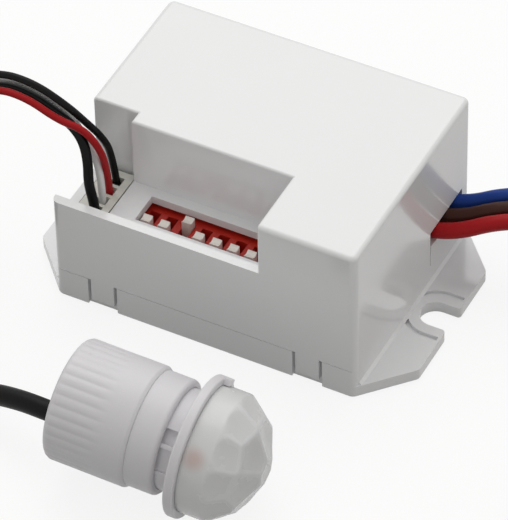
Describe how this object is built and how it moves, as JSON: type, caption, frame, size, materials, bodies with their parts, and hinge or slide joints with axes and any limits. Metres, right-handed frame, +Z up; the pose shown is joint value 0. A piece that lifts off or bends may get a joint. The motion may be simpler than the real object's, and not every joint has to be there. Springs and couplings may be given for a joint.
{
  "type": "pir motion sensor",
  "caption": "Mains motion sensor in two parts: a white control box with ears, option switch and leads, and a small domed sensor head on a thin cable.",
  "frame": {"origin": "centre of the underside of the control box", "axes": "+X along the box towards the mains leads, +Y from the front with the option switch to the back, +Z up out of the top"},
  "size_m": [0.13, 0.0679, 0.0321],
  "materials": {
    "white_housing": "satin",
    "head_housing": "satin",
    "lens_plastic": "satin",
    "board_laminate": "satin",
    "switch_red": "satin",
    "lever_cream": "satin",
    "connector_nylon": "satin",
    "tinned_metal": "satin",
    "relay_case": "satin",
    "film_capacitor": "satin",
    "capacitor_sleeve": "gloss",
    "component_black": "matte",
    "resistor_coating": "matte",
    "disc_coating": "matte",
    "ferrite": "matte",
    "red_insulation": "satin",
    "brown_insulation": "satin",
    "blue_insulation": "satin",
    "black_insulation": "satin",
    "white_insulation": "satin",
    "cable_jacket": "satin",
    "soft_rubber": "matte",
    "tie_nylon": "satin",
    "can_metal": "satin",
    "element_glass": "gloss",
    "chip_resin": "satin"
  },
  "bodies": {
    "unit": {"base_tray": "white_housing", "top_cover": "white_housing", "head_body": "head_housing", "lens_dome": "lens_plastic", "main_board": "board_laminate", "head_board": "board_laminate", "dip_switch_body": "switch_red", "sensor_socket": "connector_nylon", "sensor_plug": "connector_nylon", "dip_switch_pins": "tinned_metal", "socket_pins": "tinned_metal", "plug_contacts": "tinned_metal", "lead_cores": "tinned_metal", "lead_ends": "tinned_metal", "element_pins": "tinned_metal", "relay": "relay_case", "filter_capacitor": "film_capacitor", "main_capacitor": "capacitor_sleeve", "output_capacitor": "capacitor_sleeve", "bridge_rectifier": "component_black", "regulator": "component_black", "control_chip": "component_black", "fuse_resistor": "resistor_coating", "surge_disc": "disc_coating", "choke": "ferrite", "red_lead": "red_insulation", "wire_red": "red_insulation", "brown_lead": "brown_insulation", "blue_lead": "blue_insulation", "wire_black": "black_insulation", "wire_black_thick": "black_insulation", "wire_white": "white_insulation", "head_wires": "white_insulation", "cable_from_plug": "cable_jacket", "cable_coil": "cable_jacket", "cable_to_head": "cable_jacket", "cable_sleeve": "cable_jacket", "cable_grommet": "soft_rubber", "coil_tie": "tie_nylon", "lead_tie": "tie_nylon", "motion_element": "can_metal", "element_window": "element_glass", "indicator_led": "chip_resin", "daylight_sensor": "chip_resin"},
    "dip_lever_1_body": {"dip_lever_1": "lever_cream"},
    "dip_lever_2_body": {"dip_lever_2": "lever_cream"},
    "dip_lever_3_body": {"dip_lever_3": "lever_cream"},
    "dip_lever_4_body": {"dip_lever_4": "lever_cream"},
    "dip_lever_5_body": {"dip_lever_5": "lever_cream"},
    "dip_lever_6_body": {"dip_lever_6": "lever_cream"},
    "dip_lever_7_body": {"dip_lever_7": "lever_cream"},
    "dip_lever_8_body": {"dip_lever_8": "lever_cream"},
    "collar_body": {"clamp_collar": "head_housing"},
    "nut_body": {"clamp_nut": "head_housing"}
  },
  "joints": [
    {"name": "lever_1_slide", "type": "slide", "parent": "unit", "child": "dip_lever_1_body", "axis": [0, 1, 0], "range_m": [0, 0.002]},
    {"name": "lever_2_slide", "type": "slide", "parent": "unit", "child": "dip_lever_2_body", "axis": [0, 1, 0], "range_m": [0, 0.002]},
    {"name": "lever_3_slide", "type": "slide", "parent": "unit", "child": "dip_lever_3_body", "axis": [0, 1, 0], "range_m": [-0.002, 0]},
    {"name": "lever_4_slide", "type": "slide", "parent": "unit", "child": "dip_lever_4_body", "axis": [0, 1, 0], "range_m": [0, 0.002]},
    {"name": "lever_5_slide", "type": "slide", "parent": "unit", "child": "dip_lever_5_body", "axis": [0, 1, 0], "range_m": [0, 0.002]},
    {"name": "lever_6_slide", "type": "slide", "parent": "unit", "child": "dip_lever_6_body", "axis": [0, 1, 0], "range_m": [0, 0.002]},
    {"name": "lever_7_slide", "type": "slide", "parent": "unit", "child": "dip_lever_7_body", "axis": [0, 1, 0], "range_m": [0, 0.002]},
    {"name": "lever_8_slide", "type": "slide", "parent": "unit", "child": "dip_lever_8_body", "axis": [0, 1, 0], "range_m": [0, 0.002]},
    {"name": "collar_slide", "type": "slide", "parent": "unit", "child": "collar_body", "axis": [0.9958, 0.0478, -0.0785], "range_m": [-0.003, 0.0021]},
    {"name": "nut_turn", "type": "hinge", "parent": "collar_body", "child": "nut_body", "pos_m": [0.01207, -0.04101, 0.0095], "axis": [0.9958, 0.0478, -0.0785], "range_deg": [-722, 506]}
  ],
  "couplings": [
    {"joint": "nut_turn", "follows": "collar_slide", "rad_per_m": 4188.8}
  ]
}
